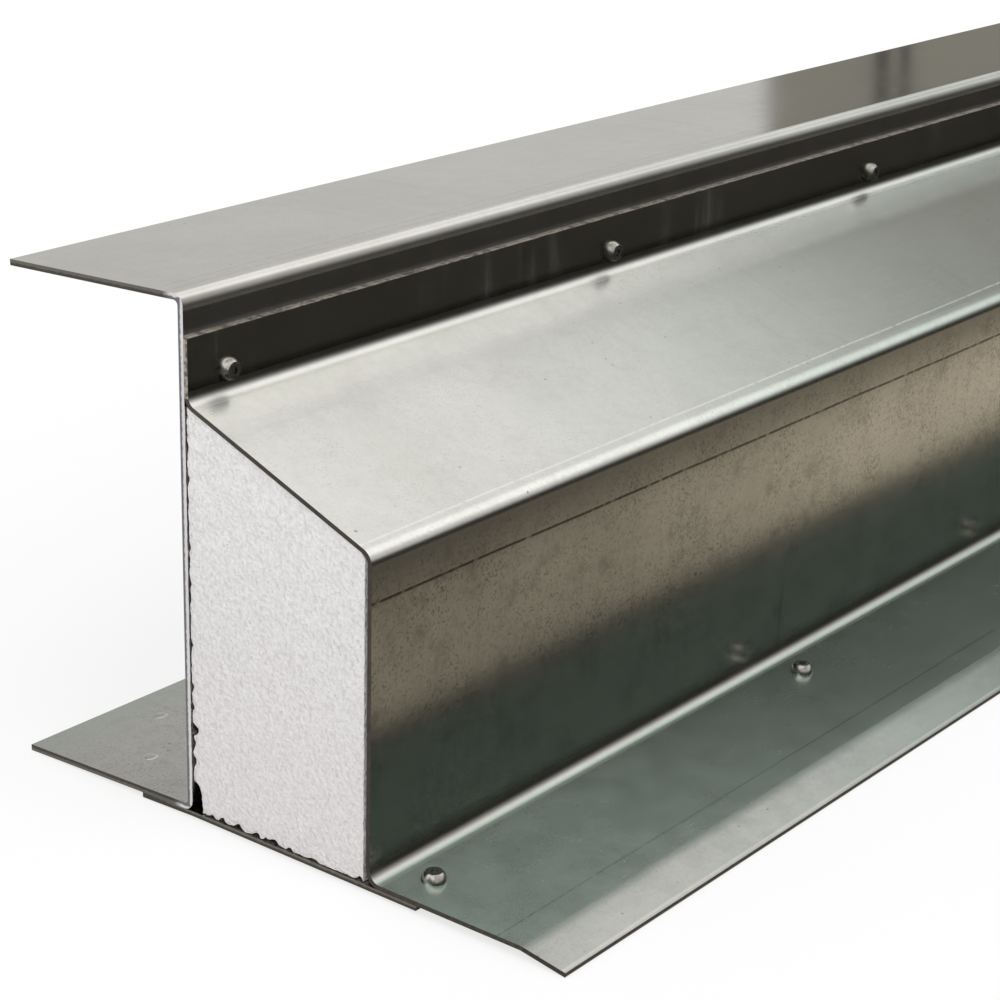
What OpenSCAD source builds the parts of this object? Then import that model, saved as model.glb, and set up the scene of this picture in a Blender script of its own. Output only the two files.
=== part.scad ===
// Cavity wall lintel: a folded channel for the inner leaf, a folded front plate for the outer
// leaf, a base plate that closes the box between them, a foam core and two rows of rivets.
// The length runs along X. Y points to the inner leaf, so the outer leaf stands on the -Y side.
// The origin is under the middle, on the level that carries the lower edges of both flanges.

/* [Overall] */
// Length of the lintel
lintel_length = 1200; // [900:150:1800]
// Height from the lower edges to the top of the channel
lintel_height = 213; // [200:0.5:240]
// Depth of the box, from the channel's web to the front face
box_depth = 92.5; // [75:0.5:120]

/* [Inner channel] */
// Sheet thickness of the channel
channel_sheet = 2.5; // [2:0.1:4]
// Inside radius of the channel's folds
channel_fold = 2; // [1:0.5:5]
// Reach of both channel flanges behind the web's front side
rear_reach = 94; // [80:1:120]
// How far the top flange's edge sits below its fold
top_fall = 3.4; // [0:0.1:5]

/* [Front plate] */
// Sheet thickness of the front plate
front_sheet = 1.8; // [1:0.1:2.5]
// Inside radius of the front plate's folds
front_fold = 4.5; // [1:0.5:5]
// Height of the front face above its flange
face_height = 130; // [110:1:145]
// Drop from the top of the channel to the upstand's upper edge
upstand_drop = 16.3; // [12:0.1:25]
// Height of the upstand that is riveted to the web
upstand_height = 25; // [20:1:28]
// Reach of the front flange beyond the front face, with its drip
front_reach = 91.5; // [80:0.5:110]
// Width of the drip along the front flange's edge
drip_width = 20.2; // [12:0.1:30]
// How far the drip's edge sits below the front flange
drip_fall = 3.3; // [3:0.1:6]

/* [Base plate] */
// Sheet thickness of the base plate
base_sheet = 2; // [1:0.1:2]
// Inside radius of the base plate's fold
base_fold = 2.5; // [1:0.5:4]
// Clearance between sheets that lap, under the flanges and behind the upstand
lap_gap = 0.1; // [0.05:0.05:0.2]
// Lap of the base plate under the front flange
front_lap = 22.5; // [22:0.5:40]
// Lap of the base plate under the channel's lower flange
rear_lap = 28; // [15:1:50]

/* [Insulation core] */
// Clearance between the core and the channel's web
core_web_gap = 0.3; // [0.3:0.1:3]
// Clearance between the core and the front face
core_face_gap = 2; // [0.3:0.1:4]
// Clearance between the core and the slope
core_slope_gap = 0.5; // [0.3:0.1:3]
// Clearance between the core and the base plate
core_base_gap = 0.3; // [0.2:0.1:2]
// Depth of the core's ends inside the sheet's ends
core_end_gap = 0.5; // [0:0.5:5]

/* [Rivets] */
// Diameter of a rivet's head
head_d = 9.8; // [9:0.1:12]
// Height of a rivet's head, up to its flat crown
head_height = 3.8; // [2.5:0.1:4]
// Height of the widest place of a rivet's head
head_rim = 0.2; // [0.1:0.1:0.6]
// Diameter of a rivet's shank
shank_d = 4.8; // [4:0.1:6]
// Diameter of the hollow in a rivet's head
hollow_d = 3; // [2:0.1:3.5]
// Depth of the hollow in a rivet's head
hollow_depth = 1.4; // [0.5:0.1:1.5]
// Diameter of the set end behind the web
set_end_d = 7; // [6.5:0.1:9]
// Height of the set end behind the web
set_end_height = 2; // [1:0.1:3]
// Clearance all round a shank in its holes
rivet_clearance = 0.1; // [0.05:0.05:0.3]
// Distance from the lintel's end to the first rivet
rivet_end = 19; // [12:1:40]
// Usual spacing of the rivets in a row
rivet_pitch = 233; // [150:1:300]
// How far the first upstand rivets from each end sit from their even places
upstand_drift = [2, 13, 5]; // [-25:1:25]
// How far the first flange rivets from each end sit from their even places
flange_drift = [-2, 22, 6]; // [-25:1:25]
// Height of the upstand's rivets above the slope's fold
upstand_rivet_up = 9; // [8:0.5:15]
// Distance of the flange's rivets from the front face
flange_rivet_out = 17; // [14:0.5:17.5]

/* [Hidden] */
// Flat steps that a fold's arc is made of
fold_steps = 12;
// Fineness of circles
$fn = 48;

// Section levels, in Y and Z
web_y = (box_depth + front_reach - rear_reach) / 2;
face_y = web_y - box_depth;
tip_y = face_y - front_reach;
upstand_y = web_y - lap_gap - front_sheet;
drip_angle = atan2(drip_fall, drip_width);
flange_z = drip_fall + front_sheet * cos(drip_angle);
lap_z = flange_z - front_sheet;
base_top_z = lap_z - lap_gap;
face_top_z = flange_z + face_height;
upstand_top_z = lintel_height - upstand_drop;
slope_z = upstand_top_z - upstand_height;
slope_angle = atan2(slope_z - face_top_z, upstand_y - face_y);
lower_angle = atan2(lap_z, rear_reach);

// Rivet rows
rivet_count = round((lintel_length - 2 * rivet_end) / rivet_pitch) + 1;
even_pitch = (lintel_length - 2 * rivet_end) / (rivet_count - 1);
upstand_rivet_z = slope_z + upstand_rivet_up;
flange_rivet_y = face_y - flange_rivet_out;
hole_d = shank_d + 2 * rivet_clearance;
upstand_grip = front_sheet + lap_gap + channel_sheet;
flange_grip = front_sheet + lap_gap + base_sheet;

// Drift of rivet i: the far half of a row mirrors the near half
function drift(row, i) =
    i < len(row) ? row[i]
    : rivet_count - 1 - i < len(row) ? -row[rivet_count - 1 - i]
    : 0;

// Place of rivet i along the length, from 0 at the -X end
function rivet_x(row, i) = rivet_end + i * even_pitch + drift(row, i) - lintel_length / 2;

function upstand_rivet_name(i) = str("upstand_rivet_", i + 1);
function flange_rivet_name(i) = str("flange_rivet_", i + 1);

// Direction from p to q, and a turn brought within half a circle
function heading(p, q) = atan2(q.y - p.y, q.x - p.x);
function turn_of(a) = a > 180 ? a - 360 : a < -180 ? a + 360 : a;

// Side of travel on which the sheet lies, for a heading
function right_of(a) = [sin(a), -cos(a)];

// Points and headings along one side of a folded sheet, whose thickness lies to the right
// of travel. A fold towards the sheet runs round its outside, the others round their inside.
function fold_line(corners, sheet, fold) =
    let (last = len(corners) - 1)
    [
        [corners[0], heading(corners[0], corners[1])],
        for (i = [1 : last - 1])
            let (
                a = heading(corners[i - 1], corners[i]),
                turn = turn_of(heading(corners[i], corners[i + 1]) - a),
                r = turn < 0 ? fold + sheet : fold,
                side = -sign(turn) * right_of(a),
                start = corners[i] - r * tan(abs(turn) / 2) * [cos(a), sin(a)],
                centre = start + r * side
            )
            for (k = [0 : fold_steps])
                let (b = a + turn * k / fold_steps)
                [centre + sign(turn) * r * right_of(b), b],
        [corners[last], heading(corners[last - 1], corners[last])]
    ];

// A sheet folded along its corners, as long as the lintel
module folded_sheet(corners, sheet, fold) {
    line = fold_line(corners, sheet, fold);
    near_side = [for (s = line) s[0]];
    far_side = [for (i = [len(line) - 1 : -1 : 0]) line[i][0] + sheet * right_of(line[i][1])];
    along(lintel_length)
        polygon(concat(near_side, far_side));
}

// Extrudes a Y-Z section along X, about the middle of the length
module along(length) {
    translate([-length / 2, 0, 0])
        rotate([90, 0, 90])
            linear_extrude(length)
                children();
}

// Frames of the rivets: each head's seat is at Z = 0, with the head pointing to +Z
module at_upstand_rivet(i) {
    translate([rivet_x(upstand_drift, i), upstand_y, upstand_rivet_z])
        rotate([90, 0, 0])
            children();
}

module at_flange_rivet(i) {
    translate([rivet_x(flange_drift, i), flange_rivet_y, flange_z])
        children();
}

// Holes through the sheets for both rows of rivets
module upstand_holes() {
    for (i = [0 : rivet_count - 1])
        at_upstand_rivet(i)
            rivet_hole(upstand_grip);
}

module flange_holes() {
    for (i = [0 : rivet_count - 1])
        at_flange_rivet(i)
            rivet_hole(flange_grip);
}

module rivet_hole(grip) {
    translate([0, 0, -grip - 1])
        cylinder(h = grip + 2, d = hole_d);
}

// Round head with a flat crown and a hollow in it
module rivet_head() {
    difference() {
        intersection() {
            translate([0, 0, head_rim])
                sphere(d = head_d);
            cylinder(h = head_height, d = head_d + 1);
        }
        translate([0, 0, head_height - hollow_depth])
            cylinder(h = hollow_depth + 1, d = hollow_d);
    }
}

// A rivet whose shank fills the grip, with a set end of the given height
module rivet(grip, end_height) {
    color("silver") {
        rivet_head();
        translate([0, 0, -grip])
            cylinder(h = grip, d = shank_d);
        if (end_height > 0)
            translate([0, 0, -grip - end_height])
                cylinder(h = end_height, d1 = shank_d, d2 = set_end_d);
    }
}

// Heavy channel, open to the inner leaf: lower flange, web and top flange
module inner_channel() {
    color("darkgray")
        difference() {
            folded_sheet(
                [
                    [web_y + rear_reach - channel_sheet * sin(lower_angle), 0],
                    [web_y, lap_z],
                    [web_y, lintel_height],
                    [web_y + rear_reach, lintel_height - top_fall]
                ],
                channel_sheet,
                channel_fold
            );
            upstand_holes();
        }
}

// Front plate: drip, front flange, front face, slope and upstand
module front_plate() {
    color("gray")
        difference() {
            folded_sheet(
                [
                    [tip_y, flange_z - drip_fall],
                    [tip_y + drip_width, flange_z],
                    [face_y, flange_z],
                    [face_y, face_top_z],
                    [upstand_y, slope_z],
                    [upstand_y, upstand_top_z]
                ],
                front_sheet,
                front_fold
            );
            upstand_holes();
            flange_holes();
        }
}

// Closing plate under the box, whose rear lap follows the channel's lower flange
module base_plate() {
    color("dimgray")
        difference() {
            folded_sheet(
                [
                    [face_y - front_lap, base_top_z],
                    [web_y, base_top_z],
                    [web_y + rear_lap, base_top_z - rear_lap * tan(lower_angle)]
                ],
                base_sheet,
                base_fold
            );
            flange_holes();
        }
}

// White foam core that fills the box, cut square to the web and the front face
module insulation_core() {
    rear_y = web_y - core_web_gap;
    front_y = face_y + front_sheet + core_face_gap;
    bottom_z = base_top_z + core_base_gap;
    // How far the corner under the front plate's fold is cut back
    corner_cut = front_fold / 3;
    // Height of the core's top on the slope's inner side, at a given Y
    function top_z(y) =
        slope_z - (upstand_y - y) * tan(slope_angle)
        - (front_sheet + core_slope_gap) / cos(slope_angle);
    color("white")
        along(lintel_length - 2 * core_end_gap)
            polygon([
                [rear_y, bottom_z],
                [rear_y, top_z(rear_y)],
                [front_y + corner_cut, top_z(front_y + corner_cut)],
                [front_y, top_z(front_y) - corner_cut],
                [front_y, bottom_z]
            ]);
}

inner_channel();
front_plate();
base_plate();
insulation_core();
for (i = [0 : rivet_count - 1]) {
    at_upstand_rivet(i) rivet(upstand_grip, set_end_height);
    at_flange_rivet(i) rivet(flange_grip, 0);
}
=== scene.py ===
"""Cavity wall lintel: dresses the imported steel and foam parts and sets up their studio."""

import logging
import math
from dataclasses import dataclass
from enum import Enum, IntEnum

import bmesh
import bpy
from mathutils import Matrix, Vector, noise


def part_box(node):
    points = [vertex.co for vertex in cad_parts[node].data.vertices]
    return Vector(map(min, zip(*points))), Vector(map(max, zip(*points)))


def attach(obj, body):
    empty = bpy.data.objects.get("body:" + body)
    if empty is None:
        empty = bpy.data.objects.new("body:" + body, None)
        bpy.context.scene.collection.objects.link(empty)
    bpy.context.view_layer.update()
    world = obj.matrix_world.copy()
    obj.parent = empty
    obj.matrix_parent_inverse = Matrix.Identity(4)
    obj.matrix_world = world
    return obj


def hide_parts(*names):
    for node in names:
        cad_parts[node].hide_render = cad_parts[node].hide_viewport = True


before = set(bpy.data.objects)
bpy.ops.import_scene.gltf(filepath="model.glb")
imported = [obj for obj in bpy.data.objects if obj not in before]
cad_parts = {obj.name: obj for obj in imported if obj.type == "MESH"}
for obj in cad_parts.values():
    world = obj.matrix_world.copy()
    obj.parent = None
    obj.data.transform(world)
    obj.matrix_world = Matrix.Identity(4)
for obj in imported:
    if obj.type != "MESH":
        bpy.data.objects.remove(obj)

LOG = logging.getLogger("lintel")
MM = 0.001
HALF_LENGTH = 0.6
ROOT = "root"

GRIME = (0.1, 0.085, 0.06)
# Dark brown: painted shade in and below the folds, and the darker cut faces of the channel's
# flanges.
DARK_BROWN = (0.045, 0.033, 0.019)
# Dark green, blended over the drip to make it greener and darker.
GREEN_DARKENING = (0.02, 0.065, 0.05)
# Grey green, blended over the flanges to make them greener and darker.
GREEN_TINT = (0.5, 0.61, 0.54)
# Grey green: dusty smears, and painted sheen on the front flange and the slope.
DUST_AND_SHEEN = (0.34, 0.46, 0.39)
# Warm painted highlight on the web above the upstand's top edge.
WARM_GLOW = (0.45, 0.42, 0.35)
# Brown painted glow: the tail of the top fold's highlight, and a lift at the face's foot.
BROWN_GLOW = (0.48, 0.37, 0.27)
# Pale painted glow on the slope near the upstand.
PALE_GLOW = (0.95, 0.93, 0.88)
GROOVE = (0.05, 0.042, 0.03)
POLISHED = (0.93, 0.92, 0.9)

BMesh = bmesh.types.BMesh
Material = bpy.types.Material
Socket = bpy.types.NodeSocket
Tree = bpy.types.NodeTree
Colour = tuple[float, float, float]
Feed = float | tuple | Socket


class Axis(IntEnum):
    """A coordinate of the shared frame."""

    X = 0
    Y = 1
    Z = 2

    @property
    def other(self) -> "Axis":
        """The other one of Y and Z, which run across the lintel."""
        return Axis.Z if self is Axis.Y else Axis.Y


class EdgeKind(Enum):
    """How a sheet's edge was made."""

    SHEARED = "dark, from the shear at the lintel's ends"
    SLIT = "bright, from the slitting rolls along the sheet"


class Wiring:
    """Short calls that add shader nodes to one tree and join them."""

    def __init__(self, tree: Tree) -> None:
        """Keeps the tree.

        Args:
            tree: The tree that the nodes go into.
        """
        self.tree = tree

    def feed(self, socket: Socket, value: Feed) -> None:
        """Links a socket to another one, or sets its own value.

        Args:
            socket: The input to feed.
            value: An output socket, a number, or a tuple of numbers.
        """
        if isinstance(value, Socket):
            self.tree.links.new(value, socket)
        elif isinstance(value, tuple) and len(value) == 3 and socket.type == "RGBA":
            socket.default_value = (*value, 1.0)
        else:
            socket.default_value = value

    def add(self, kind: str, feeds: dict | None = None, **settings) -> bpy.types.Node:
        """Adds a node.

        Args:
            kind: The node's type, without its ShaderNode prefix.
            feeds: Values or sockets for its inputs, by name or number.
            **settings: The node's own properties.

        Returns:
            The new node.
        """
        node = self.tree.nodes.new("ShaderNode" + kind)
        for name, value in settings.items():
            setattr(node, name, value)
        for name, value in (feeds or {}).items():
            self.feed(node.inputs[name], value)
        return node

    def parts(self, vector: Feed) -> list[Socket]:
        """Takes a vector apart.

        Args:
            vector: The vector.

        Returns:
            Its three parts.
        """
        return self.add("SeparateXYZ", {0: vector}).outputs

    def math(self, operation: str, a: Feed, b: Feed = 0.0, clamp: bool = False) -> Socket:
        """Adds a Math node.

        Args:
            operation: What it does.
            a: Its first value.
            b: Its second value.
            clamp: Whether the result is kept from 0 to 1.

        Returns:
            The result.
        """
        return self.add("Math", {0: a, 1: b}, operation=operation, use_clamp=clamp).outputs[0]

    def product(self, first: Feed, *others: Feed) -> Socket:
        """Multiplies values.

        Args:
            first: The first value.
            *others: The others, in order.

        Returns:
            The product.
        """
        for other in others:
            first = self.math("MULTIPLY", first, other)
        return first

    def span(
        self, value: Feed, low: float, high: float, start: Feed = 0.0, end: Feed = 1.0
    ) -> Socket:
        """Maps a value smoothly from one span to another, and holds it at the ends.

        Args:
            value: The value to map.
            low: The value that gives start.
            high: The value that gives end.
            start: The result at low.
            end: The result at high.

        Returns:
            The mapped value.
        """
        feeds = {"Value": value, "From Min": low, "From Max": high, "To Min": start, "To Max": end}
        return self.add("MapRange", feeds, interpolation_type="SMOOTHSTEP").outputs["Result"]

    def between(self, value: Feed, low: float, high: float) -> Socket:
        """Marks the values between two levels.

        Args:
            value: The value.
            low: The lower level.
            high: The upper level.

        Returns:
            The mask.
        """
        above = self.math("GREATER_THAN", value, low)
        return self.product(above, self.math("LESS_THAN", value, high))

    def blend(self, factor: Feed, a: Feed, b: Feed, kind: str = "MIX") -> Socket:
        """Mixes two colours.

        Args:
            factor: The share of the second one.
            a: The first colour.
            b: The second colour.
            kind: The way of mixing.

        Returns:
            The mixed colour.
        """
        feeds = {0: factor, 6: a, 7: b}
        node = self.add("Mix", feeds, data_type="RGBA", blend_type=kind, clamp_factor=True)
        return node.outputs[2]

    def noise(
        self, vector: Feed, scale: float, detail: float = 2.0, roughness: float = 0.5
    ) -> Socket:
        """Adds a noise pattern.

        Args:
            vector: Where it is read.
            scale: Its fineness.
            detail: Its finer layers.
            roughness: The weight of those layers.

        Returns:
            Its strength.
        """
        feeds = {"Vector": vector, "Scale": scale, "Detail": detail, "Roughness": roughness}
        return self.add("TexNoise", feeds).outputs[0]

    def scaled(self, vector: Feed, by: Feed) -> Socket:
        """Scales a vector or colour.

        Args:
            vector: The vector or colour.
            by: The factor of each part, or one socket for all of them.

        Returns:
            The scaled vector.
        """
        return self.add("VectorMath", {0: vector, 1: by}, operation="MULTIPLY").outputs[0]


class EffectWiring(Wiring):
    """The wiring of a shader node group that turns a place into one value."""

    def __init__(self, name: str, result: str, numbers: dict[str, float] | None = None) -> None:
        """Starts the group with its sockets.

        Args:
            name: The group's name.
            result: The name of its output.
            numbers: Its inputs beside the place, with their first values.
        """
        super().__init__(bpy.data.node_groups.new(name, "ShaderNodeTree"))
        ports = self.tree.interface
        ports.new_socket("Vector", in_out="INPUT", socket_type="NodeSocketVector")
        for port, value in (numbers or {}).items():
            made = ports.new_socket(port, in_out="INPUT", socket_type="NodeSocketFloat")
            made.default_value = value
        ports.new_socket(result, in_out="OUTPUT", socket_type="NodeSocketFloat")
        self.given = self.tree.nodes.new("NodeGroupInput").outputs
        self.place = self.given["Vector"]
        self.end = self.tree.nodes.new("NodeGroupOutput")

    def finish(self, value: Feed) -> Tree:
        """Gives the group its result.

        Args:
            value: The result.

        Returns:
            The group.
        """
        self.feed(self.end.inputs[0], value)
        return self.tree


class Surface(Wiring):
    """The wiring of a material that reads its piece's Object coordinates."""

    def __init__(self, name: str) -> None:
        """Starts the material.

        Args:
            name: The material's name.
        """
        self.material = bpy.data.materials.new(name)
        self.material.use_nodes = True
        super().__init__(self.material.node_tree)
        self.shader = self.tree.nodes["Principled BSDF"]
        self.place = self.add("TexCoord").outputs["Object"]
        self.xyz = self.parts(self.place)

    def effect(self, group: Tree, numbers: dict[str, Feed] | None = None) -> Socket:
        """Reads a shared effect at the surface's coordinates.

        Args:
            group: The effect.
            numbers: Its other inputs.

        Returns:
            Its result.
        """
        feeds = {"Vector": self.place, **(numbers or {})}
        return self.add("Group", feeds, node_tree=group).outputs[0]

    def finish(
        self, colour: Feed, rough: Feed, height: Feed, strength: float, depth: float
    ) -> Material:
        """Feeds the shader.

        Args:
            colour: The base colour.
            rough: The roughness.
            height: The relief.
            strength: The relief's share in the normal.
            depth: The relief's depth, in metres.

        Returns:
            The material.
        """
        bump = self.add("Bump", {"Strength": strength, "Distance": depth, "Height": height})
        ends = {"Base Color": colour, "Roughness": rough, "Normal": bump.outputs[0]}
        for name, value in ends.items():
            self.feed(self.shader.inputs[name], value)
        return self.material


class Effects:
    """Shader node groups that several finishes share, each built once."""

    def __init__(self) -> None:
        """Builds the groups."""
        self.scribe = self._scribe_line()
        self.grain = self._rolling_grain()
        self.cloud = self._cloud()
        self.flecks = self._flecks()
        self.cut = self._cut_ends()
        self.fold = self._worn_fold()
        self.specks = self._specks()
        self.streaks = self._streaks()

    def _scribe_line(self) -> Tree:
        """Builds a thin worn line that runs along the lintel at one place across it."""
        numbers = {"Across": 0.0, "Place": 0.0, "Drift": 0.0, "Width": 0.0005, "Wear": 0.4}
        net = EffectWiring("scribe_line", "Mask", numbers)
        along = net.parts(net.place)[0]
        drift = net.product(along, net.given["Drift"])
        centre = net.math("ADD", net.given["Place"], drift)
        waver = net.noise(net.scaled(net.place, (9.0, 0.0, 0.0)), 1.0)
        centre = net.math("ADD", centre, net.product(waver, 0.0012))
        away = net.math("ABSOLUTE", net.math("SUBTRACT", net.given["Across"], centre))
        share = net.math("DIVIDE", away, net.given["Width"])
        line = net.span(share, 0.35, 1.0, 1.0, 0.0)
        breaks = net.noise(net.scaled(net.place, (160.0, 0.0, 0.0)), 1.0, 3.0)
        kept = net.math("SUBTRACT", breaks, net.given["Wear"])
        kept = net.span(kept, -0.1, 0.08)
        return net.finish(net.math("MULTIPLY", line, kept, clamp=True))

    def _rolling_grain(self) -> Tree:
        """Builds the fine grain that the rolls leave along the sheet."""
        net = EffectWiring("rolling_grain", "Grain", {"Fineness": 900.0})
        drawn = net.scaled(net.place, (0.05, 1.0, 1.0))
        drawn = net.scaled(drawn, net.given["Fineness"])
        return net.finish(net.noise(drawn, 1.0, 4.0, 0.65))

    def _cloud(self) -> Tree:
        """Builds the soft blotches of the coating, in two sizes."""
        net = EffectWiring("coating_cloud", "Cloud", {"Scale": 20.0})
        scaled = net.scaled(net.place, net.given["Scale"])
        wide = net.noise(scaled, 1.0, 2.0)
        fine = net.noise(scaled, 9.0, 3.0, 0.6)
        both = net.math("ADD", net.product(wide, 0.6), net.product(fine, 0.4))
        return net.finish(net.span(both, 0.3, 0.7))

    def _flecks(self) -> Tree:
        """Builds small dark flecks scattered over a surface."""
        net = EffectWiring("handling_flecks", "Mask", {"Spacing": 0.006, "Share": 0.3})
        per_metre = net.math("DIVIDE", 1.0, net.given["Spacing"])
        cells = net.add("TexVoronoi", {"Vector": net.place, "Scale": per_metre, "Randomness": 1.0})
        pick = net.add("SeparateColor", {0: cells.outputs["Color"]}).outputs
        kept = net.math("LESS_THAN", pick[0], net.given["Share"])
        size = net.product(pick[1], 0.16)
        dot = net.math("SUBTRACT", size, cells.outputs["Distance"])
        soft = net.span(dot, -0.03, 0.05)
        return net.finish(net.product(soft, kept, pick[2]))

    def _cut_ends(self) -> Tree:
        """Builds a mask of the sheared ends of the lintel."""
        net = EffectWiring("cut_ends", "Mask", {"Half Length": HALF_LENGTH})
        along = net.parts(net.place)[0]
        away = net.math("SUBTRACT", net.given["Half Length"], net.math("ABSOLUTE", along))
        return net.finish(net.math("LESS_THAN", away, 0.00012))

    def _worn_fold(self) -> Tree:
        """Builds a mask of one fold, by the distance from its centre line."""
        net = EffectWiring("worn_fold", "Mask", {"Y": 0.0, "Z": 0.0, "Radius": 0.004})
        parts = net.parts(net.place)
        across = net.math("SUBTRACT", parts[1], net.given["Y"])
        up = net.math("SUBTRACT", parts[2], net.given["Z"])
        squares = net.math("ADD", net.math("POWER", across, 2.0), net.math("POWER", up, 2.0))
        beyond = net.math("SUBTRACT", net.math("SQRT", squares), net.given["Radius"])
        return net.finish(net.span(beyond, 0.0001, 0.0006, 1.0, 0.0))

    def _specks(self) -> Tree:
        """Builds dense specks of dirt, finer than the flecks, that gather in patches."""
        net = EffectWiring("dirt_specks", "Mask", {"Fineness": 700.0})
        scaled = net.scaled(net.place, net.given["Fineness"])
        fine = net.span(net.noise(scaled, 1.0, 4.0, 0.7), 0.5, 0.66)
        patch = net.span(net.noise(net.place, 38.0, 3.0, 0.6), 0.25, 0.75, 0.25, 1.0)
        blotch = net.span(net.noise(net.place, 75.0, 5.0, 0.75), 0.47, 0.78)
        dotted = net.product(fine, patch)
        blotch = net.product(blotch, 0.6)
        return net.finish(net.math("MAXIMUM", dotted, blotch))

    def _streaks(self) -> Tree:
        """Builds smears that run down the sheet, across the lintel's length."""
        net = EffectWiring("run_down_smears", "Mask")
        drawn = net.scaled(net.place, (120.0, 5.0, 9.0))
        smear = net.span(net.noise(drawn, 1.0, 3.0, 0.6), 0.52, 0.8)
        patch = net.span(net.noise(net.place, 14.0), 0.38, 0.62)
        return net.finish(net.product(smear, patch))


@dataclass(frozen=True)
class Scribe:
    """A line left on a sheet, at one place across the section."""

    across: Axis
    place: float
    drift: float
    width: float
    depth: float
    wear: float = 0.4
    limit: tuple[float, float] | None = None
    bright: bool = False


@dataclass(frozen=True)
class EdgeStrip:
    """One edge of a sheet, found by one coordinate."""

    axis: Axis
    low: float
    high: float
    kind: EdgeKind = EdgeKind.SHEARED
    ends_only: bool = False


@dataclass(frozen=True)
class Fold:
    """A fold of a sheet, by the centre line of its arc."""

    y: float
    z: float
    radius: float
    rough: float = 0.22


@dataclass(frozen=True)
class Skin:
    """A plane of a sheet's outer side: its normal across the section, and its distance."""

    y: float
    z: float
    offset: float


@dataclass(frozen=True)
class Band:
    """A band along the lintel, between two levels of one axis, that blends the colour: painted
    shade, painted glow, a tint or dust.
    """

    axis: Axis
    low: tuple[float, float]
    high: tuple[float, float]
    strength: float
    side: tuple[float, float] | None = None
    colour: Colour = DARK_BROWN


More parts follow.
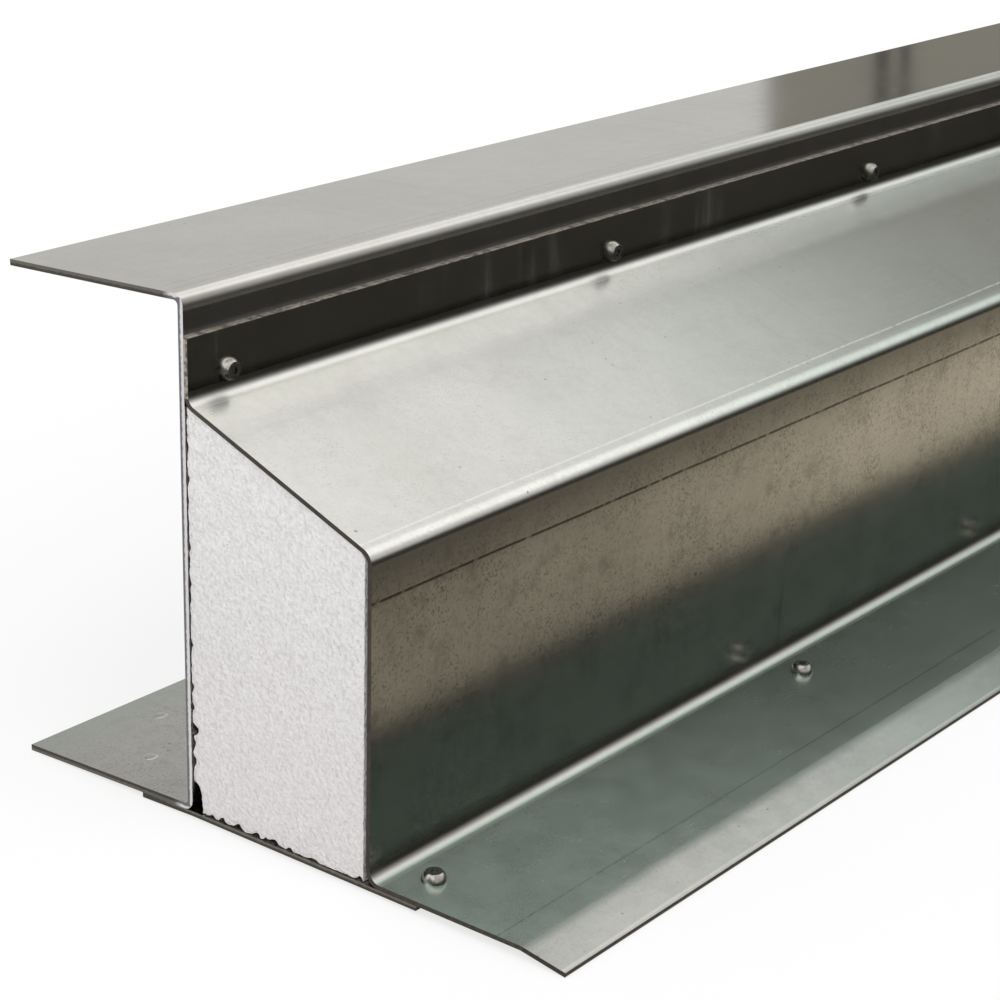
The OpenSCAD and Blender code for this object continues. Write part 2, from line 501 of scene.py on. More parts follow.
@dataclass(frozen=True)
class SteelFinish:
    """Satin folded steel, with its grain, blotches, scribed lines and sheared edges."""

    name: str
    light: Colour
    dull: Colour
    cut: Colour
    cut_lower: Colour
    roughness: float
    cloud_scale: float = 16.0
    fleck_share: float = 0.3
    slit: Colour = (0.42, 0.38, 0.33)
    slit_dark: Colour = (0.1, 0.085, 0.07)
    speckle: float = 0.3
    smear: float = 0.2
    scribes: tuple[Scribe, ...] = ()
    edges: tuple[EdgeStrip, ...] = ()
    folds: tuple[Fold, ...] = ()
    skins: tuple[Skin, ...] = ()
    skin_light: float = 0.0013
    shades_and_tints: tuple[Band, ...] = ()
    cut_darkening: tuple[Band, ...] = ()
    glow_and_dust: tuple[Band, ...] = ()
    glow_and_dust_rough: float = 0.07
    glow_facing: tuple[float, float] = (0.52, 0.61)
    streak_zone: tuple[float, float] = (9.0, 10.0)
    streak_dust: float = 0.0
    worked: tuple[float, float, float, float] = (-1.0, -0.9, 0.9, 1.0)

    def build(self, effects: Effects) -> Material:
        """Builds the material.

        Args:
            effects: The shared shader groups.

        Returns:
            The finished material.
        """
        net = Surface(self.name)
        cloud = net.effect(effects.cloud, {"Scale": self.cloud_scale})
        grain = net.effect(effects.grain, {"Fineness": 900.0})
        specks = net.effect(effects.specks, {"Fineness": 850.0})
        smears = net.effect(effects.streaks)
        flecks = net.effect(effects.flecks, {"Spacing": 0.005, "Share": self.fleck_share})

        colour = net.blend(cloud, self.light, self.dull)
        zone = self._band_mask(net, Band(Axis.Z, self.worked[:2], self.worked[2:], 1.0))
        zone = net.span(zone, 0.0, 1.0, 0.25, 1.0)
        for mask, share in ((specks, self.speckle), (smears, self.smear)):
            colour = net.blend(net.product(mask, share, zone), colour, GRIME)
        colour = net.blend(net.product(flecks, 0.55), colour, GRIME)
        # Painted shade in and below the folds, and tints that make the flanges and the drip
        # greener and darker.
        for tone_band in self.shades_and_tints:
            colour = net.blend(self._band_mask(net, tone_band), colour, tone_band.colour)
        groove = self._scribed(net, effects, bright=False)
        shine = self._scribed(net, effects, bright=True)
        colour = net.blend(groove, colour, GROOVE)
        colour = net.blend(shine, colour, POLISHED)
        # Painted glow and sheen bands, and dusty smears, that lighten the colour for the camera
        # only.
        glow_and_dust_share = 0.0
        for mask, tint in self._glow_and_dust_layers(net, smears):
            colour = net.blend(mask, colour, tint)
            glow_and_dust_share = net.math("MAXIMUM", glow_and_dust_share, mask)

        ends = net.effect(effects.cut)
        cut = self._edge_mask(net, EdgeKind.SHEARED, ends)
        slit = self._edge_mask(net, EdgeKind.SLIT, ends)
        edged = net.math("MAXIMUM", cut, slit)
        shear = net.noise(net.place, 500.0, 3.0)
        cut_colour = net.blend(self._fracture(net, shear), self.cut, self.cut_lower)
        # Bands that make parts of the cut faces darker.
        for tone_band in self.cut_darkening:
            cut_colour = net.blend(self._band_mask(net, tone_band), cut_colour, DARK_BROWN)
        slit_colour = net.blend(net.span(shear, 0.36, 0.6), self.slit_dark, self.slit)
        colour = net.blend(cut, colour, cut_colour)
        colour = net.blend(slit, colour, slit_colour)

        rough = net.math("ADD", self.roughness, net.product(grain, 0.05))
        for share, mask in ((0.03, cloud), (0.05, flecks), (0.02, specks), (0.18, shine)):
            rough = net.math("ADD", rough, net.product(mask, share))
        rough = net.math("ADD", rough, net.product(net.span(glow_and_dust_share, 0.0, 0.08), self.glow_and_dust_rough))
        for fold in self.folds:
            worn = net.effect(effects.fold, {"Y": fold.y, "Z": fold.z, "Radius": fold.radius})
            rough = net.math("MAXIMUM", rough, net.product(worn, fold.rough))
        rough = net.math("MAXIMUM", rough, net.product(edged, 0.6), clamp=True)
        metal = net.math("SUBTRACT", 1.0, net.product(edged, 0.8))
        # Under the painted glow and the dust the steel turns matt, so they show as diffuse colour.
        metal = net.math("SUBTRACT", metal, glow_and_dust_share, clamp=True)
        net.feed(net.shader.inputs["Metallic"], metal)

        height = net.product(grain, 0.06)
        height = net.math("SUBTRACT", height, net.product(flecks, 0.012))
        height = net.math("SUBTRACT", height, groove)
        height = net.math("ADD", height, net.product(shear, edged, 4.0))
        return net.finish(colour, rough, height, 0.03, 0.0003)

    def _glow_and_dust_layers(self, net: Surface, smears: Socket) -> list[tuple[Socket, Colour]]:
        """Builds the bands of painted glow and sheen, and the dusty smears, which only the camera
        sees.

        Args:
            net: The material's wiring.
            smears: The mask of the smears.

        Returns:
            Each layer's mask and colour, from the lowest one.
        """
        if not self.glow_and_dust:
            return []
        facing = net.add("LayerWeight", {"Blend": 0.5}).outputs["Facing"]
        direct = net.add("LightPath").outputs["Is Camera Ray"]
        mottle = net.noise(net.place, 60.0, 4.0, 0.6)
        veil = net.product(net.span(mottle, 0.25, 0.75, 0.82, 1.18), direct)
        # The painted glow fades as a face turns away from the camera.
        low = net.product(net.span(facing, *self.glow_facing, 1.0, 0.25), veil)
        layers = [(net.product(self._band_mask(net, b), low), b.colour) for b in self.glow_and_dust]
        zone = net.span(net.xyz[Axis.Y], *self.streak_zone)
        return [*layers, (net.product(smears, zone, self.streak_dust, direct), DUST_AND_SHEEN)]

    def _edge_mask(self, net: Surface, kind: EdgeKind, ends: Socket) -> Feed:
        """Finds the sheet's edges of one kind.

        Args:
            net: The material's wiring.
            kind: The kind. Both ends of the lintel are sheared.
            ends: The mask of those ends.

        Returns:
            The edges' mask.
        """
        mask = ends if kind is EdgeKind.SHEARED else 0.0
        for edge in self.edges:
            if edge.kind is kind:
                strip = net.between(net.xyz[edge.axis], edge.low, edge.high)
                if edge.ends_only:
                    strip = net.product(strip, ends)
                mask = net.math("MAXIMUM", mask, strip)
        return mask

    def _fracture(self, net: Surface, shear: Socket) -> Socket:
        """Finds the torn part of a sheared edge, away from the sheet's outer skin.

        Args:
            net: The material's wiring.
            shear: The noise that roughens the border.

        Returns:
            The torn part's mask.
        """
        if not self.skins:
            return net.span(shear, 0.35, 0.7)
        depth = 1.0
        for skin in self.skins:
            across = net.product(net.xyz[Axis.Y], skin.y)
            up = net.product(net.xyz[Axis.Z], skin.z)
            below = net.math("SUBTRACT", skin.offset, net.math("ADD", across, up))
            depth = net.math("MINIMUM", depth, below)
        jitter = net.product(net.math("SUBTRACT", shear, 0.5), 0.0012)
        depth = net.math("ADD", depth, jitter)
        return net.span(depth, self.skin_light - 0.0003, self.skin_light + 0.0003)

    @staticmethod
    def _band_mask(net: Surface, band: Band) -> Socket:
        """Builds the mask of a band.

        Args:
            net: The material's wiring.
            band: The band.

        Returns:
            The band's mask, from 0 to its strength.
        """
        value = net.xyz[band.axis]
        mask = net.product(net.span(value, *band.low), net.span(value, *band.high, 1.0, 0.0))
        if band.side:
            mask = net.product(mask, net.span(net.xyz[band.axis.other], *band.side))
        return net.product(mask, band.strength)

    def _scribed(self, net: Surface, effects: Effects, bright: bool) -> Feed:
        """Places the scribed lines, each on its own face.

        Args:
            net: The material's wiring.
            effects: The shared shader groups.
            bright: Whether the bright lines are placed, or the dark ones.

        Returns:
            The lines' mask.
        """
        lines = 0.0
        for scribe in self.scribes:
            if scribe.bright is not bright:
                continue
            numbers = {
                "Across": net.xyz[scribe.across],
                "Place": scribe.place,
                "Drift": scribe.drift,
                "Width": scribe.width,
                "Wear": scribe.wear,
            }
            mask = net.effect(effects.scribe, numbers)
            if scribe.limit:
                face = net.between(net.xyz[scribe.across.other], *scribe.limit)
                mask = net.product(mask, face)
            lines = net.math("MAXIMUM", lines, net.product(mask, scribe.depth))
        return lines


@dataclass(frozen=True)
class RivetFinish:
    """Plated rivet heads with handling marks."""

    name: str = "rivet_plating"
    light: Colour = (0.66, 0.65, 0.61)
    dull: Colour = (0.22, 0.21, 0.18)
    roughness: float = 0.24

    def build(self, effects: Effects) -> Material:
        """Builds the material.

        Args:
            effects: The shared shader groups.

        Returns:
            The finished material.
        """
        net = Surface(self.name)
        cloud = net.effect(effects.cloud, {"Scale": 420.0})
        grain = net.effect(effects.grain, {"Fineness": 2500.0})
        colour = net.blend(cloud, self.light, self.dull)
        rough = net.math("ADD", self.roughness, net.product(cloud, 0.12))
        net.shader.inputs["Metallic"].default_value = 1.0
        return net.finish(colour, rough, grain, 0.15, 0.0002)


@dataclass(frozen=True)
class FoamFinish:
    """White expanded foam: beads, darker seams, and painted shade in hollows, at its foot and in
    its ends.
    """

    name: str = "foam_beads"
    bead: Colour = (0.92, 0.895, 0.9)
    seam: Colour = (0.64, 0.62, 0.61)
    bead_size: float = 0.0021

    def build(self, effects: Effects) -> Material:
        """Builds the material.

        Args:
            effects: The shared shader groups.

        Returns:
            The finished material.
        """
        net = Surface(self.name)
        place, parts = net.place, net.xyz
        beads = {"Vector": place, "Scale": 1.0 / self.bead_size, "Randomness": 0.9}
        cells = net.add("TexVoronoi", beads, feature="F1")
        seams = net.span(cells.outputs["Distance"], 0.45, 0.85)
        cloud = net.effect(effects.cloud, {"Scale": 90.0})
        dirt = net.effect(effects.flecks, {"Spacing": 0.009, "Share": 0.18})
        pick = net.add("SeparateColor", {0: cells.outputs["Color"]}).outputs[0]
        swell = net.noise(place, 650.0, 2.0, 0.55)
        inside = net.math("SUBTRACT", HALF_LENGTH, net.math("ABSOLUTE", parts[0]))
        colour = self.bead
        for mask, tint in (
            (net.product(seams, 0.26), self.seam),
            (net.product(pick, 0.2), (0.7, 0.685, 0.675)),
            # Painted shade in the hollows of the relief.
            (net.span(swell, 0.36, 0.58, 0.34, 0.0), (0.6, 0.58, 0.575)),
            (net.product(cloud, 0.15), (0.68, 0.66, 0.65)),
            (net.product(dirt, 0.3), (0.45, 0.42, 0.38)),
            # Painted shade, darker towards the bottom of the block.
            (net.span(parts[2], 0.02, 0.17, 0.32, 0.0), (0.6, 0.57, 0.565)),
            # Painted shadow: faces more than a few millimetres inside the ends, seen only in the
            # chips, are near black.
            (net.span(inside, 0.0022, 0.006), (0.012, 0.012, 0.012)),
        ):
            colour = net.blend(mask, colour, tint)
        rough = net.math("ADD", 0.82, net.product(seams, 0.12))
        dome = net.math("SUBTRACT", 1.0, cells.outputs["Distance"])
        fine = net.noise(place, 1400.0, 3.0, 0.6)
        height = net.math("ADD", dome, net.product(fine, 0.4))
        height = net.math("ADD", height, net.product(swell, 1.6))
        return net.finish(colour, rough, height, 0.75, 0.0011)


def mesh_from(name: str, bm: BMesh) -> bpy.types.Mesh:
    """Turns a bmesh into a mesh, and frees it.

    Args:
        name: The mesh's name.
        bm: The bmesh.

    Returns:
        The mesh.
    """
    mesh = bpy.data.meshes.new(name)
    bm.to_mesh(mesh)
    bm.free()
    return mesh


def add_object(name: str, data: bpy.types.ID) -> bpy.types.Object:
    """Adds an object to the scene.

    Args:
        name: The object's name.
        data: Its mesh, lamp or camera.

    Returns:
        The object.
    """
    made = bpy.data.objects.new(name, data)
    bpy.context.scene.collection.objects.link(made)
    return made


def dress(node: str, material: Material) -> None:
    """Gives a CAD node its finish.

    Args:
        node: The node's name.
        material: The finish.
    """
    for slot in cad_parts[node].material_slots:
        slot.material = material
    LOG.info("%s: %s", node, material.name)


def finish_piece(name: str, bm: BMesh, material: Material) -> bpy.types.Object:
    """Turns a bmesh into a piece of the lintel.

    Args:
        name: The piece's name.
        bm: Its mesh, in the shared frame. It is freed.
        material: Its finish.

    Returns:
        The piece.
    """
    piece = add_object(name, mesh_from(name, bm))
    piece.data.materials.append(material)
    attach(piece, ROOT)
    LOG.info("%s: %d faces", name, len(piece.data.polygons))
    return piece


@dataclass
class InnerChannel:
    """The thick channel of the inner leaf, with the pips pressed up from its lower flange."""

    pip_radius: float = 3.2 * MM
    pip_height: float = 0.13 * MM
    row_places: tuple[float, float] = (91.0 * MM, 118.4 * MM)
    row_starts: tuple[float, float] = (22.0 * MM, 54.0 * MM)
    pitch: float = 64.0 * MM
    end_gap: float = 8.0 * MM
    flange_slope: float = 0.034855
    flange_edge: float = 139.0 * MM
    sheet: float = 2.5 * MM

    def dress(self, effects: Effects) -> None:
        """Gives the channel its finish and its pips.

        Args:
            effects: The shared shader groups.
        """
        finish = SteelFinish(
            name="channel_satin",
            light=(0.72, 0.71, 0.68),
            dull=(0.65, 0.64, 0.61),
            cut=(0.72, 0.71, 0.71),
            cut_lower=(0.16, 0.165, 0.185),
            roughness=0.06,
            cloud_scale=14.0,
            fleck_share=0.22,
            speckle=0.48,
            smear=0.36,
            worked=(-0.01, 0.0, 0.012, 0.03),
            scribes=(
                Scribe(Axis.Y, 0.06, 0.0, 0.0008, 0.16, 0.45, (0.15, 0.22)),
                Scribe(Axis.Y, 0.0565, 0.0, 0.0006, 0.12, 0.5, (0.15, 0.22)),
                Scribe(Axis.Y, 0.054, 0.0, 0.0007, 0.16, 0.42, (0.15, 0.22)),
            ),
            folds=(Fold(0.0495, 0.20833, 0.0045, 0.34),),
            skins=(
                Skin(0.036147, 0.999346, 0.214488),
                Skin(-1.0, 0.0, -0.045),
                Skin(-0.034834, -0.999393, -0.004842),
            ),
            shades_and_tints=(
                # Painted shade on the web side of the top fold, which cuts its highlight short.
                Band(Axis.Z, (0.207, 0.209), (0.2108, 0.2118), 0.42, (0.0475, 0.047)),
                # Greener and darker along the rear flange's outer edge.
                Band(Axis.Y, (0.11, 0.136), (0.3, 0.4), 0.5, (0.1, 0.09), GREEN_TINT),
            ),
            glow_and_dust=(
                # Painted highlight on the web just above the upstand's top edge.
                Band(Axis.Z, (0.19, 0.195), (0.1967, 0.201), 0.09, (0.0472, 0.047), WARM_GLOW),
                # Painted glow, the tail of the top fold's highlight, on the web below it.
                Band(Axis.Z, (0.19, 0.195), (0.2085, 0.2105), 0.02, (0.0472, 0.047), BROWN_GLOW),
            ),
            # The cut faces of the flanges, beyond the web, are darker.
            cut_darkening=(Band(Axis.Y, (0.05, 0.056), (0.2, 0.3), 0.86),),
            glow_and_dust_rough=0.05,
            glow_facing=(0.9, 1.0),
        )
        material = finish.build(effects)
        dress("inner_channel", material)
        self._pips(material)

    def _pips(self, material: Material) -> None:
        """Builds the pressed pips.

        Args:
            material: The channel's finish.
        """
        bm = bmesh.new()
        size = Vector((self.pip_radius, self.pip_radius, self.pip_height))
        for place, start in zip(self.row_places, self.row_starts):
            top = (self.flange_edge - place) * self.flange_slope + self.sheet
            x = start - HALF_LENGTH
            while x < HALF_LENGTH - self.end_gap:
                at = Matrix.LocRotScale(Vector((x, place, top)), None, size)
                bmesh.ops.create_uvsphere(bm, u_segments=16, v_segments=8, radius=1.0, matrix=at)
                x += self.pitch
        for face in bm.faces:
            face.smooth = True
        finish_piece("plaster_key_pips", bm, material)


@dataclass
class FrontPlate:
    """The thin folded plate of the outer leaf, from its upstand to its drip."""

    def dress(self, effects: Effects) -> None:
        """Gives the plate its finish.

        Args:
            effects: The shared shader groups.
        """
        finish = SteelFinish(
            name="front_plate_satin",
            light=(0.72, 0.72, 0.69),
            dull=(0.65, 0.655, 0.62),
            cut=(0.045, 0.037, 0.03),
            cut_lower=(0.065, 0.055, 0.046),
            roughness=0.14,
            speckle=0.7,
            smear=0.22,
            worked=(0.006, 0.012, 0.124, 0.132),
            streak_zone=(0.0415, 0.0425),
            streak_dust=0.06,
            scribes=(
                Scribe(Axis.Y, -0.0385, 0.006, 0.0007, 0.4, 0.42, (0.134, 0.17), True),
                Scribe(Axis.Z, 0.1158, 0.0, 0.0008, 0.8, 0.42, (-0.049, -0.044)),
                Scribe(Axis.Y, -0.1072, 0.002, 0.0006, 0.4, 0.42, (0.0, 0.01)),
                Scribe(Axis.Y, -0.138, 0.0, 0.001, 0.3, 0.25, (0.0, 0.01), True),
            ),
            edges=(
                # The drip's outer edge face takes the dark cut colour: a sheet edge with painted
                # shade, for the dark ground it faces.
                EdgeStrip(Axis.Y, -0.2, -0.1388),
                EdgeStrip(Axis.Z, 0.1966, 0.2, EdgeKind.SLIT),
                EdgeStrip(Axis.Z, 0.1735, 0.2, EdgeKind.SLIT, True),
            ),
            folds=(
                Fold(-0.0412, 0.13087, 0.0063),
                Fold(-0.052, 0.00958, 0.0045, 0.34),
                Fold(0.0386, 0.17471, 0.0045, 0.36),
            ),
            shades_and_tints=(
                # Painted shade on the face just below the front fold.
                Band(Axis.Z, (0.112, 0.119), (0.1305, 0.132), 0.15, (-0.046, -0.047)),
                # Painted shade in the fold at the face's foot, which narrows its highlight.
                Band(Axis.Z, (0.0047, 0.0083), (0.0095, 0.017), 0.82, (-0.0535, -0.0525)),
                # Painted shade, brown, in the fold at the upstand's foot, above its highlight.
                Band(Axis.Z, (0.1717, 0.1737), (0.1765, 0.181), 0.7, (0.04, 0.0412)),
                # Greener and darker on the front flange.
                Band(Axis.Z, (-0.01, 0.0), (0.0052, 0.0058), 0.7, (-0.12, -0.1183), GREEN_TINT),
                # Greener and darker on the drip.
                Band(Axis.Y, (-0.3, -0.2), (-0.1195, -0.1188), 0.38, colour=GREEN_DARKENING),
                Band(Axis.Y, (-0.124, -0.119), (-0.119, -0.1186), 0.38, colour=GREEN_DARKENING),
            ),
            glow_and_dust=(
                # Painted sheen on the front flange, seen only by the camera.
                Band(Axis.Z, (-0.01, 0.0), (0.0052, 0.006), 0.32, (-0.1198, -0.1183), DUST_AND_SHEEN),
                # Painted glow that lifts the dark foot of the face above the root fold.
                Band(Axis.Z, (0.0062, 0.008), (0.012, 0.018), 0.03, (-0.053, -0.051), BROWN_GLOW),
                # Dust and painted sheen on the slope, seen only by the camera.
                Band(Axis.Z, (0.1345, 0.1365), (0.17, 0.1725), 0.05, (-0.046, -0.044), DUST_AND_SHEEN),
                # Painted glow on the slope, lightening it near the upstand's fold.
                Band(Axis.Z, (0.1608, 0.1668), (0.1712, 0.1722), 0.38, colour=PALE_GLOW),
            ),
        )
        dress("front_plate", finish.build(effects))


@dataclass
class BasePlate:
    """The flat plate that closes the box from below."""

    def dress(self, effects: Effects) -> None:
        """Gives the plate its finish.

        Args:
            effects: The shared shader groups.
        """
        finish = SteelFinish(
            name="base_plate_satin",
            light=(0.52, 0.51, 0.48),
            dull=(0.44, 0.43, 0.4),
            cut=(0.18, 0.155, 0.13),
            cut_lower=(0.055, 0.055, 0.046),
            skins=(Skin(0.0, 1.0, 0.003176),),
            skin_light=0.0008,
            roughness=0.2,
            edges=(EdgeStrip(Axis.Y, -0.1, -0.0698), EdgeStrip(Axis.Y, 0.0728, 0.1)),
        )
        dress("base_plate", finish.build(effects))


@dataclass
class InsulationCore:
    """The foam block in the box, with its beads and its broken end corners."""

    cell: float = 1.2 * MM
    depths: tuple[float, ...] = (1.2 * MM, 2.8 * MM, 5.0 * MM, 8.0 * MM, 13.0 * MM, 20.0 * MM)
    bead_size: float = 3.2 * MM
    bead_relief: float = 0.35 * MM
    chip_reach: float = 7.0 * MM
    chip_sink: float = 0.4
    crease: float = math.radians(50.0)
    edge_depth: float = 0.45 * MM
    edge_share: float = 0.35
    edge_fineness: float = 420.0
    web_row: float = 3.1
    base_row: float = 8.4
    far_turn: float = 31.7
    far_squeeze: float = 0.83
    far_shift: float = 5.0 * MM
    web_notches: tuple[tuple[float, float, float], ...] = (
        (151.0, 2.0, 0.5), (138.5, 1.6, 0.6), (112.0, 2.6, 0.4), (96.0, 1.6, 0.7),
        (91.5, 2.0, 0.4), (71.0, 1.8, 0.6), (53.0, 2.4, 0.5), (44.5, 1.6, 0.7),
        (35.0, 2.8, 2.4), (29.0, 3.0, 0.9), (21.5, 2.6, 1.1), (6.0, 7.5, 3.6),
        (0.0, 6.0, 2.4),
    )
    base_notches: tuple[tuple[float, float, float], ...] = (
        (9.5, 1.8, 0.9), (15.0, 1.8, 1.6), (23.5, 2.2, 1.5), (33.5, 2.4, 1.3),
        (38.5, 1.4, 0.9), (42.5, 3.0, 1.5), (51.0, 1.8, 1.0), (63.0, 2.2, 0.5),
        (86.5, 1.8, 1.2),
    )

    def build(self, effects: Effects) -> bpy.types.Object:
        """Builds the block in place of its plain solid.

        Args:
            effects: The shared shader groups.

        Returns:
            The foam piece.
        """
        low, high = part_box("insulation_core")
        bm = bmesh.new()
        bm.from_mesh(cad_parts["insulation_core"].data)
        bmesh.ops.remove_doubles(bm, verts=bm.verts, dist=1e-6)
        flat = math.radians(1.0)
        bmesh.ops.dissolve_limit(bm, angle_limit=flat, verts=bm.verts, edges=bm.edges)
        self._cut_cells(bm, low, high)
        self._roughen(bm, low, high)
        bmesh.ops.recalc_face_normals(bm, faces=bm.faces)
        for face in bm.faces:
            face.smooth = True
        for edge in bm.edges:
            edge.smooth = edge.calc_face_angle(0.0) < self.crease
        piece = finish_piece("foam_block", bm, FoamFinish().build(effects))
        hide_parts("insulation_core")
        return piece

    def _cut_cells(self, bm: BMesh, low: Vector, high: Vector) -> None:
        """Cuts the block's ends into small cells.

        Args:
            bm: The block.
            low: Its lowest corner.
            high: Its highest corner.
        """
        for axis in (Axis.Y, Axis.Z):
            count = round((high[axis] - low[axis]) / self.cell)
            normal = Vector((0.0, 0.0, 0.0))
            normal[axis] = 1.0
            for step in range(1, count):
                at = low.copy()
                at[axis] = low[axis] + (high[axis] - low[axis]) * step / count
                self._slice(bm, at, normal)
        for depth in self.depths:
            for x in (low.x + depth, high.x - depth):
                self._slice(bm, Vector((x, 0.0, 0.0)), Vector((1.0, 0.0, 0.0)))

    @staticmethod
    def _slice(bm: BMesh, at: Vector, normal: Vector) -> None:
        """Cuts the block along a plane and keeps both sides.

        Args:
            bm: The block.
            at: A point of the plane.
            normal: The plane's normal.
        """
        bmesh.ops.bisect_plane(
            bm,
            geom=bm.verts[:] + bm.edges[:] + bm.faces[:],
            dist=1e-7,
            plane_co=at,
            plane_no=normal,
        )

    def _roughen(self, bm: BMesh, low: Vector, high: Vector) -> None:
        """Sinks the seams between the beads and breaks the end corners.

        Args:
            bm: The block, cut into cells.
            low: Its lowest corner.
            high: Its highest corner.
        """
        for vert in bm.verts:
            place = vert.co.copy()
            depth = min(place.x - low.x, high.x - place.x)
            if depth > self.depths[-1] - 1e-5:
                continue
            near = place.x < 0.0
            fade = 1.0 - (depth / self.depths[-1]) ** 2
            web, base = high.y - place.y, place.z - low.z
            pull_y = self._chip("web", base, near) * self._reach(web)
            pull_z = self._chip("base", web, near) * self._reach(base)
            vert.co.y = place.y - pull_y * fade
            vert.co.z = place.z + pull_z * fade
            if depth < 1e-5:
                beads = noise.voronoi(place / self.bead_size, distance_metric="DISTANCE")[0]
                sunk = self.bead_relief * min(1.0, beads[0]) ** 2
                sunk += 0.25 * self.bead_relief * (1.0 + noise.noise(place * 900.0))
                corner = max(self._reach(web), self._reach(base))
                sunk += corner * (pull_y + pull_z) * self.chip_sink
                vert.co.x += sunk if near else -sunk

    def _reach(self, distance: float) -> float:
        """Finds how much of a chip is left inside the block.

        Args:
            distance: The distance from the broken edge.

        Returns:
            The share that is left.
        """
        share = max(0.0, 1.0 - distance / self.chip_reach)
        return share * share

    def _chip(self, side: str, along: float, near: bool) -> float:
        """Returns how far an edge is broken back.

        Args:
            side: The edge, beside the web or above the base.
            along: The place along the edge.
            near: Whether it is the end at -X.

        Returns:
            The depth of the break, in metres.
        """
        turn = 0.0 if near else self.far_turn
        row = self.web_row if side == "web" else self.base_row
        spot = Vector((along * self.edge_fineness + turn, row, turn))
        depth = self.edge_depth * max(0.0, noise.noise(spot) + self.edge_share)
        for notch in self.web_notches if side == "web" else self.base_notches:
            centre, half, deep = (size * MM for size in notch)
            place = centre if near else centre * self.far_squeeze + self.far_shift
            depth += deep * max(0.0, 1.0 - ((along - place) / half) ** 2)
        return depth


@dataclass
class RivetRows:
    """The blind rivets, with the broken stub of a mandrel in each hollow head."""

    count: int = 6
    stub_radius: float = 1.15 * MM
    stub_drop: float = 0.55 * MM
    stub_length: float = 1.0 * MM

    def dress(self, effects: Effects) -> None:
        """Gives the rivets their finish and their stubs.

        Args:
            effects: The shared shader groups.
        """
        material = RivetFinish().build(effects)
        bm = bmesh.new()
        for index in range(1, self.count + 1):
            for row in ("upstand_rivet_", "flange_rivet_"):
                dress(f"{row}{index}", material)
                self._stub(bm, f"{row}{index}")
        finish_piece("mandrel_stubs", bm, material)

    def _stub(self, bm: BMesh, node: str) -> None:
        """Adds the stub in one rivet's head.

        Args:
            bm: The mesh that takes the stub.
            node: The rivet's node.
        """
        low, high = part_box(node)
        middle = (low + high) / 2
        drop = self.stub_drop + self.stub_length / 2
        turn = Matrix()
        if node.startswith("upstand"):
            middle.y = low.y + drop
            turn = Matrix.Rotation(math.pi / 2, 4, "X")
        else:
            middle.z = high.z - drop
        bmesh.ops.create_cone(
            bm,
            cap_ends=True,
            segments=20,
            radius1=self.stub_radius,
            radius2=self.stub_radius * 0.8,
            depth=self.stub_length,
            matrix=Matrix.Translation(middle) @ turn,
        )


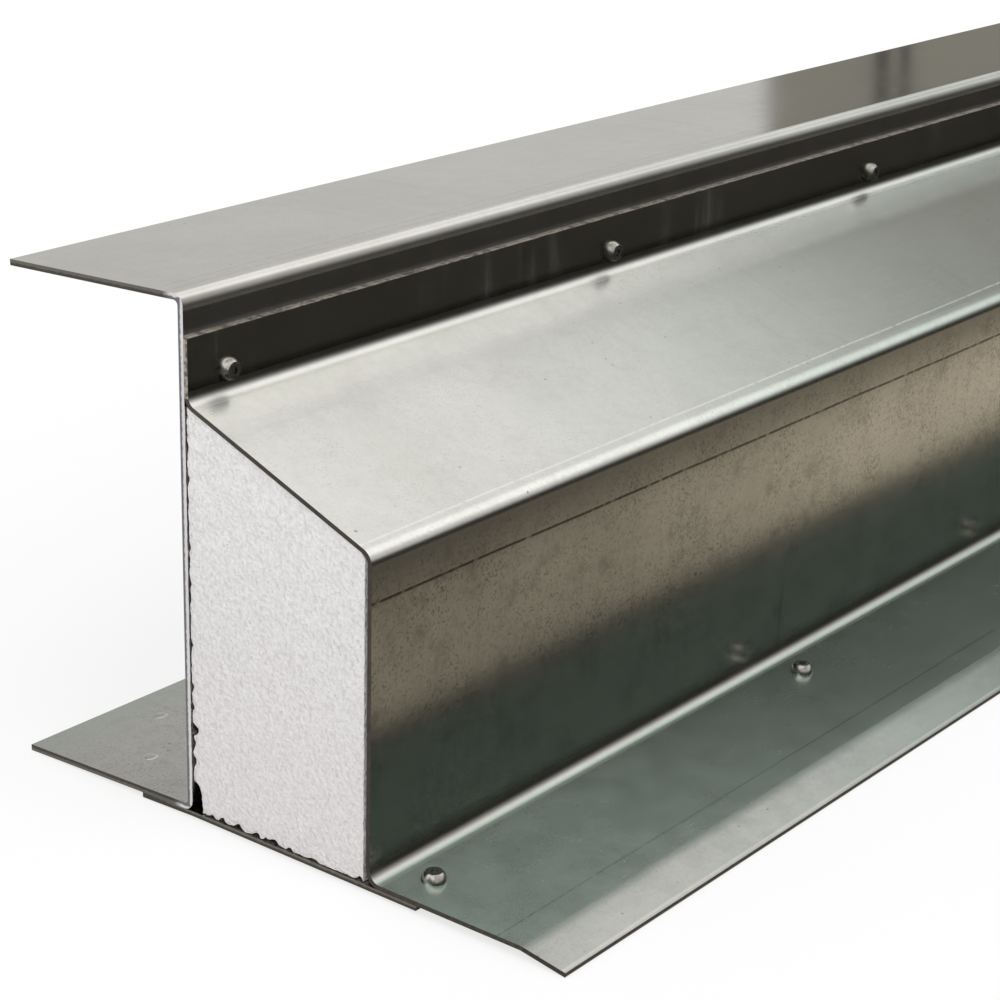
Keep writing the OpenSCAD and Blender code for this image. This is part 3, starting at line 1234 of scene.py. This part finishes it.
@dataclass
class Studio:
    """A pale floor, a soft sky and one broad lamp."""

    floor_half: float = 30.0
    floor_drop: float = 0.3 * MM
    floor_colour: Colour = (0.985, 0.985, 0.985)
    floor_lift: float = 0.72
    sky_bars: tuple[tuple[float, float], ...] = ((0.5033, 0.0022), (0.4955, 0.0016))
    sky_level: float = 0.68
    second_bounce: float = 2.5
    lamp_strength: float = 1.42
    lamp_spread: float = 70.0
    lamp_turn: tuple[float, float, float] = (28.0, -22.0, 0.0)

    def build(self) -> None:
        """Builds the floor, the sky and the lamp."""
        self._floor()
        self._sky()
        self._lamp()
        bpy.context.scene.view_settings.view_transform = "Standard"
        LOG.info("studio: floor, sky and lamp")

    def _floor(self) -> None:
        """Builds the floor, which shows steel a darker ground in front of the lintel."""
        bm = bmesh.new()
        bmesh.ops.create_grid(bm, x_segments=1, y_segments=1, size=self.floor_half)
        bmesh.ops.translate(bm, vec=(0.0, 0.0, -self.floor_drop), verts=bm.verts)
        floor = add_object("studio_floor", mesh_from("studio_floor", bm))

        net = Surface("pale_floor")
        net.tree.nodes.remove(net.shader)
        out = net.product(net.xyz[Axis.Y], -1.0)
        along = net.span(net.xyz[Axis.X], -0.42, 0.2, 0.24, 0.55)
        near = net.span(out, 0.205, 0.3, along, 0.022)
        level = net.span(out, -0.2, 0.1, 0.55, near)
        tint = net.blend(net.span(out, -0.2, 0.1), (1.0, 0.98, 0.94), (1.0, 0.87, 0.67))
        shown = net.add("Emission", {"Color": tint, "Strength": level})
        matt = net.add("BsdfDiffuse", {"Color": self.floor_colour})
        pale = net.add("Emission", {"Color": (1.0, 1.0, 1.0), "Strength": 1.0})
        rays = net.add("LightPath").outputs
        lifted = net.product(rays["Is Camera Ray"], self.floor_lift)
        soft = net.add("MixShader", {0: lifted, 1: matt.outputs[0], 2: pale.outputs[0]})
        mix = net.add(
            "MixShader", {0: rays["Is Glossy Ray"], 1: soft.outputs[0], 2: shown.outputs[0]}
        )
        net.feed(net.tree.nodes["Material Output"].inputs["Surface"], mix.outputs[0])
        net.material.cycles.emission_sampling = "NONE"
        floor.data.materials.append(net.material)

    def _sky(self) -> None:
        """Builds the sky: white behind the lintel, even on matt faces, shaped in the steel."""
        world = bpy.data.worlds.new("studio_sky")
        bpy.context.scene.world = world
        world.use_nodes = True
        world.cycles.sampling_method = "NONE"
        net = Wiring(world.node_tree)
        back = net.tree.nodes["Background"]
        xyz = net.parts(net.add("TexCoord").outputs["Generated"])
        rays = net.add("LightPath").outputs
        again = net.math("GREATER_THAN", rays["Ray Depth"], self.second_bounce)
        steel = self._steel_sky(net, xyz)
        steel = net.blend(again, steel, self._second_sky(net, xyz))
        seen = net.blend(rays["Is Glossy Ray"], (self.sky_level,) * 3, steel)
        seen = net.blend(rays["Is Camera Ray"], seen, (1.0, 1.0, 1.0))
        net.feed(back.inputs["Color"], seen)
        back.inputs["Strength"].default_value = 1.0

    def _steel_sky(self, net: Wiring, xyz: list[Socket]) -> Socket:
        """Builds what the steel mirrors: a soft box above, a pale wall behind and dim sides.

        Args:
            net: The sky's wiring.
            xyz: The direction's parts.

        Returns:
            The colour of the sky in that direction.
        """
        side = net.math("ABSOLUTE", xyz[0])
        level_way = net.math("SQRT", net.math("SUBTRACT", 1.0, net.math("POWER", xyz[2], 2.0)))
        back_share = net.math("DIVIDE", xyz[1], net.math("MAXIMUM", level_way, 0.01))

        lift = net.span(xyz[1], 0.25, -0.15, 1.02, 1.4)
        lift = net.product(lift, net.span(xyz[1], -0.45, -0.62, 1.0, 0.5))
        rise = net.math("SUBTRACT", xyz[2], net.product(xyz[1], 0.5))
        fall = net.span(side, 0.79, 0.845, 0.0, 0.5)
        fall = net.product(fall, net.span(xyz[1], -0.3, 0.05, 0.58, 1.0))
        box = net.product(
            net.span(rise, 0.3, 0.58),
            lift,
            net.math("SUBTRACT", 1.0, fall),
            net.span(xyz[2], 0.78, 0.95, 1.0, 0.62),
        )
        strip = net.product(
            net.span(xyz[1], 0.21, 0.29),
            net.span(xyz[1], 0.58, 0.67, 1.0, 0.0),
            net.span(xyz[2], 0.21, 0.34, 0.0, 1.2),
        )
        bars = 1.0
        for middle, half in self.sky_bars:
            off = net.math("ABSOLUTE", net.math("SUBTRACT", back_share, middle))
            bars = net.product(bars, net.span(off, 0.6 * half, 1.4 * half, 0.15, 1.0))
        wall = net.span(xyz[2], 0.24, 0.46, 0.62, 0.42)
        wall = net.product(wall, net.span(back_share, 0.535, 0.545))
        dim_back = net.product(net.span(xyz[1], -0.2, 0.2, 0.0, 0.235), bars)
        deep = net.span(side, 0.35, 0.62, 0.5, 0.08)
        dim_front = net.product(deep, net.span(xyz[1], 0.2, -0.2))

        tint = net.blend(self._far_share(net, side), (1.03, 1.0, 0.985), (0.86, 1.0, 0.95))
        level = net.math("MAXIMUM", box, strip)
        colour = net.scaled(tint, level)
        for tint, level in (
            ((1.0, 0.985, 0.95), wall),
            ((1.0, 0.965, 0.81), dim_back),
            ((0.9, 1.05, 0.88), dim_front),
        ):
            colour = net.blend(1.0, colour, net.scaled(tint, level), "LIGHTEN")
        return colour

    def _second_sky(self, net: Wiring, xyz: list[Socket]) -> Socket:
        """Builds what the steel mirrors by way of another face of it.

        Args:
            net: The sky's wiring.
            xyz: The direction's parts.

        Returns:
            The colour of the sky in that direction.
        """
        side = net.math("ABSOLUTE", xyz[0])
        lean = net.math("ADD", xyz[2], xyz[1])
        bright = net.span(lean, 0.2, 0.45, 0.0, 1.75)
        bright = net.product(bright, net.span(side, 0.79, 0.85, 1.0, 0.75))
        bright = net.product(bright, net.span(xyz[1], 0.3, 0.55, 1.0, 0.35))
        dim = net.span(lean, -0.26, -0.15, 0.0, 0.078)
        tint = net.blend(self._far_share(net, side), (1.0, 0.975, 0.92), (0.86, 1.0, 0.95))
        colour = net.scaled(tint, bright)
        return net.blend(1.0, colour, net.scaled((0.82, 1.06, 0.92), dim), "LIGHTEN")

    @staticmethod
    def _far_share(net: Wiring, side: Socket) -> Socket:
        """Finds how far along the lintel the sky turns cool.

        Args:
            net: The sky's wiring.
            side: The direction's part along the lintel.

        Returns:
            The share of the cool tint.
        """
        cool = net.span(side, 0.76, 0.845)
        return net.product(cool, net.span(side, 0.88, 0.95, 1.0, 0.2))

    def _lamp(self) -> None:
        """Builds the broad lamp."""
        data = bpy.data.lights.new("broad_lamp", "SUN")
        data.energy = self.lamp_strength
        data.angle = math.radians(self.lamp_spread)
        lamp = add_object("broad_lamp", data)
        lamp.rotation_euler = tuple(math.radians(a) for a in self.lamp_turn)
        lamp.visible_glossy = False


@dataclass
class ViewCamera:
    """The camera, near the end at -X and in front of the lintel."""

    place: tuple[float, float, float] = (-1224.26, -593.23, 458.68)
    turn: tuple[float, float, float] = (69.9946, -1.3476, -51.4516)
    lens: float = 90.46

    def build(self) -> None:
        """Builds the camera and makes it the scene's."""
        data = bpy.data.cameras.new("view_camera")
        data.lens = self.lens
        data.sensor_width = 36.0
        data.clip_start, data.clip_end = 0.05, 100.0
        camera = add_object("view_camera", data)
        camera.location = Vector(self.place) * MM
        camera.rotation_euler = tuple(math.radians(a) for a in self.turn)
        bpy.context.scene.camera = camera
        LOG.info("camera: %.1f mm lens", self.lens)


def main() -> None:
    """Builds the lintel's pieces in order, then the studio and the camera."""
    logging.basicConfig(level=logging.INFO, format="%(name)s: %(message)s")
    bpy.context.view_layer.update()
    effects = Effects()
    InnerChannel().dress(effects)
    FrontPlate().dress(effects)
    BasePlate().dress(effects)
    InsulationCore().build(effects)
    RivetRows().dress(effects)
    Studio().build()
    ViewCamera().build()
    LOG.info("size written")


if __name__ == "__main__":
    main()
